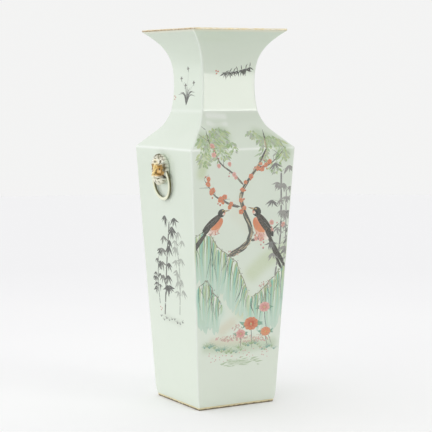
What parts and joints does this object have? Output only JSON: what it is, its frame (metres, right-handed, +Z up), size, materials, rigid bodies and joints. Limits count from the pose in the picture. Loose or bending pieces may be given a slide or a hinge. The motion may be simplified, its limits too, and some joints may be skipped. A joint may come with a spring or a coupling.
{
  "type": "square vase",
  "caption": "Tall square slab-built porcelain vase that tapers to its foot, with a sloping shoulder, a flared square mouth and lion-mask ring handles on two sides.",
  "frame": {"origin": "centre of the foot plane, where the foot ring meets the surface that the vase stands on", "axes": "+Z up along the upright axis; -Y out of the painted front face; -X and +X out of the faces with the handles"},
  "size_m": [0.2156, 0.1796, 0.57],
  "materials": {
    "glaze": "clear glossy glaze over pale green-white porcelain, with overglaze enamel painting",
    "gilt": "worn gilding on the glazed rim",
    "iron_wash": "matt brown iron wash on an unglazed foot",
    "biscuit": "unglazed fired porcelain body, matt",
    "mask_enamel": "cream and golden enamel with gilding, glossy"
  },
  "bodies": {
    "root": {"front_body_slab": "glaze", "front_shoulder_slab": "glaze", "front_neck_slab": "glaze", "front_corner_coil": "biscuit", "right_body_slab": "glaze", "right_shoulder_slab": "glaze", "right_neck_slab": "glaze", "right_corner_coil": "biscuit", "back_body_slab": "glaze", "back_shoulder_slab": "glaze", "back_neck_slab": "glaze", "back_corner_coil": "biscuit", "left_body_slab": "glaze", "left_shoulder_slab": "glaze", "left_neck_slab": "glaze", "left_corner_coil": "biscuit", "lip": "gilt", "foot_ring": "iron_wash", "base_slab": "biscuit", "left_lion_mask": "mask_enamel", "left_ring": "mask_enamel", "right_lion_mask": "mask_enamel", "right_ring": "mask_enamel"}
  },
  "joints": []
}
